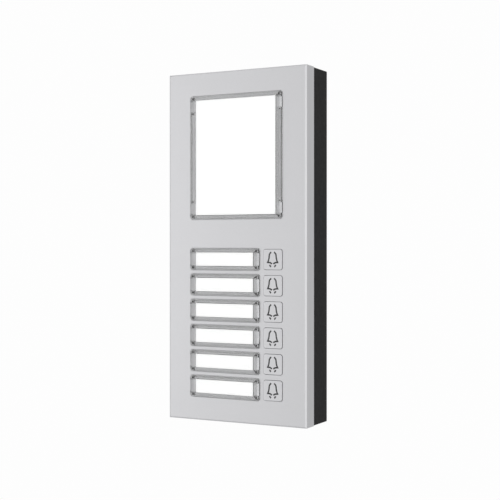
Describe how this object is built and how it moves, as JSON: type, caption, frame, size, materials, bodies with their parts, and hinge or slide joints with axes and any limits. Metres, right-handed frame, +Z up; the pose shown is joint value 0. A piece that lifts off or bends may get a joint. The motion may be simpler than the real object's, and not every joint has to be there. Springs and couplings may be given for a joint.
{
  "type": "door intercom panel",
  "caption": "Surface-mount door station extension: aluminium front with a large information window, name windows and sprung bell buttons on a black back box.",
  "frame": {"origin": "middle of the back box's rear face, which lies on the wall", "axes": "+X to the right seen from the front, +Y into the wall, +Z up; the front faces -Y"},
  "size_m": [0.119, 0.0395, 0.269],
  "materials": {
    "front_aluminium": "bead-blasted, clear anodised",
    "button_metal": "bead-blasted, clear anodised",
    "symbol_smoke": "smoked translucent, satin",
    "clear_window": "clear polycarbonate, polished",
    "white_card": "plain white card",
    "light_guide": "opal diffusing",
    "black_shell": "fine spark texture",
    "inner_frame": "moulded, satin",
    "seal_rubber": "matt",
    "grommet_rubber": "matt",
    "board_laminate": "green solder mask",
    "switch_plastic": "moulded",
    "plunger_plastic": "moulded, smooth",
    "led_white": "phosphor coated",
    "chip_black": "moulded epoxy",
    "chip_ceramic": "fired ceramic",
    "capacitor_can": "drawn can",
    "terminal_green": "moulded",
    "connector_ivory": "moulded",
    "contact_brass": "tinned edge",
    "insert_brass": "turned",
    "screw_steel": "zinc plated",
    "lock_screw_steel": "stainless"
  },
  "bodies": {
    "panel": {"front_panel": "front_aluminium", "back_box": "black_shell", "chassis": "inner_frame", "panel_seal": "seal_rubber", "stem_seals": "seal_rubber", "cable_grommet": "grommet_rubber", "info_window": "clear_window", "info_card": "white_card", "info_light_guide": "light_guide", "circuit_board": "board_laminate", "switch_bodies": "switch_plastic", "info_leds": "led_white", "name_leds": "led_white", "controller_chip": "chip_black", "capacitors": "capacitor_can", "chip_parts": "chip_ceramic", "bus_terminal": "terminal_green", "terminal_screws": "screw_steel", "link_connector": "connector_ivory", "link_pins": "contact_brass", "chassis_screws": "screw_steel", "board_screws": "screw_steel", "lock_inserts": "insert_brass", "lock_screws": "lock_screw_steel", "name_window_1": "clear_window", "name_card_1": "white_card", "name_light_guide_1": "light_guide", "name_window_2": "clear_window", "name_card_2": "white_card", "name_light_guide_2": "light_guide", "name_window_3": "clear_window", "name_card_3": "white_card", "name_light_guide_3": "light_guide", "name_window_4": "clear_window", "name_card_4": "white_card", "name_light_guide_4": "light_guide", "name_window_5": "clear_window", "name_card_5": "white_card", "name_light_guide_5": "light_guide", "name_window_6": "clear_window", "name_card_6": "white_card", "name_light_guide_6": "light_guide"},
    "button_1": {"bell_button_1": "button_metal", "bell_symbol_1": "symbol_smoke"},
    "plunger_1": {"switch_plunger_1": "plunger_plastic"},
    "button_2": {"bell_button_2": "button_metal", "bell_symbol_2": "symbol_smoke"},
    "plunger_2": {"switch_plunger_2": "plunger_plastic"},
    "button_3": {"bell_button_3": "button_metal", "bell_symbol_3": "symbol_smoke"},
    "plunger_3": {"switch_plunger_3": "plunger_plastic"},
    "button_4": {"bell_button_4": "button_metal", "bell_symbol_4": "symbol_smoke"},
    "plunger_4": {"switch_plunger_4": "plunger_plastic"},
    "button_5": {"bell_button_5": "button_metal", "bell_symbol_5": "symbol_smoke"},
    "plunger_5": {"switch_plunger_5": "plunger_plastic"},
    "button_6": {"bell_button_6": "button_metal", "bell_symbol_6": "symbol_smoke"},
    "plunger_6": {"switch_plunger_6": "plunger_plastic"}
  },
  "joints": [
    {"name": "button_1_press", "type": "slide", "parent": "panel", "child": "button_1", "axis": [0, 1, 0], "range_m": [0, 0.001], "stiffness_N_per_m": 1000, "springref_m": -0.0006},
    {"name": "plunger_1_press", "type": "slide", "parent": "panel", "child": "plunger_1", "axis": [0, 1, 0], "range_m": [0, 0.001]},
    {"name": "button_2_press", "type": "slide", "parent": "panel", "child": "button_2", "axis": [0, 1, 0], "range_m": [0, 0.001], "stiffness_N_per_m": 1000, "springref_m": -0.0006},
    {"name": "plunger_2_press", "type": "slide", "parent": "panel", "child": "plunger_2", "axis": [0, 1, 0], "range_m": [0, 0.001]},
    {"name": "button_3_press", "type": "slide", "parent": "panel", "child": "button_3", "axis": [0, 1, 0], "range_m": [0, 0.001], "stiffness_N_per_m": 1000, "springref_m": -0.0006},
    {"name": "plunger_3_press", "type": "slide", "parent": "panel", "child": "plunger_3", "axis": [0, 1, 0], "range_m": [0, 0.001]},
    {"name": "button_4_press", "type": "slide", "parent": "panel", "child": "button_4", "axis": [0, 1, 0], "range_m": [0, 0.001], "stiffness_N_per_m": 1000, "springref_m": -0.0006},
    {"name": "plunger_4_press", "type": "slide", "parent": "panel", "child": "plunger_4", "axis": [0, 1, 0], "range_m": [0, 0.001]},
    {"name": "button_5_press", "type": "slide", "parent": "panel", "child": "button_5", "axis": [0, 1, 0], "range_m": [0, 0.001], "stiffness_N_per_m": 1000, "springref_m": -0.0006},
    {"name": "plunger_5_press", "type": "slide", "parent": "panel", "child": "plunger_5", "axis": [0, 1, 0], "range_m": [0, 0.001]},
    {"name": "button_6_press", "type": "slide", "parent": "panel", "child": "button_6", "axis": [0, 1, 0], "range_m": [0, 0.001], "stiffness_N_per_m": 1000, "springref_m": -0.0006},
    {"name": "plunger_6_press", "type": "slide", "parent": "panel", "child": "plunger_6", "axis": [0, 1, 0], "range_m": [0, 0.001]}
  ],
  "couplings": [
    {"joint": "plunger_1_press", "follows": "button_1_press", "ratio": 1},
    {"joint": "plunger_2_press", "follows": "button_2_press", "ratio": 1},
    {"joint": "plunger_3_press", "follows": "button_3_press", "ratio": 1},
    {"joint": "plunger_4_press", "follows": "button_4_press", "ratio": 1},
    {"joint": "plunger_5_press", "follows": "button_5_press", "ratio": 1},
    {"joint": "plunger_6_press", "follows": "button_6_press", "ratio": 1}
  ]
}
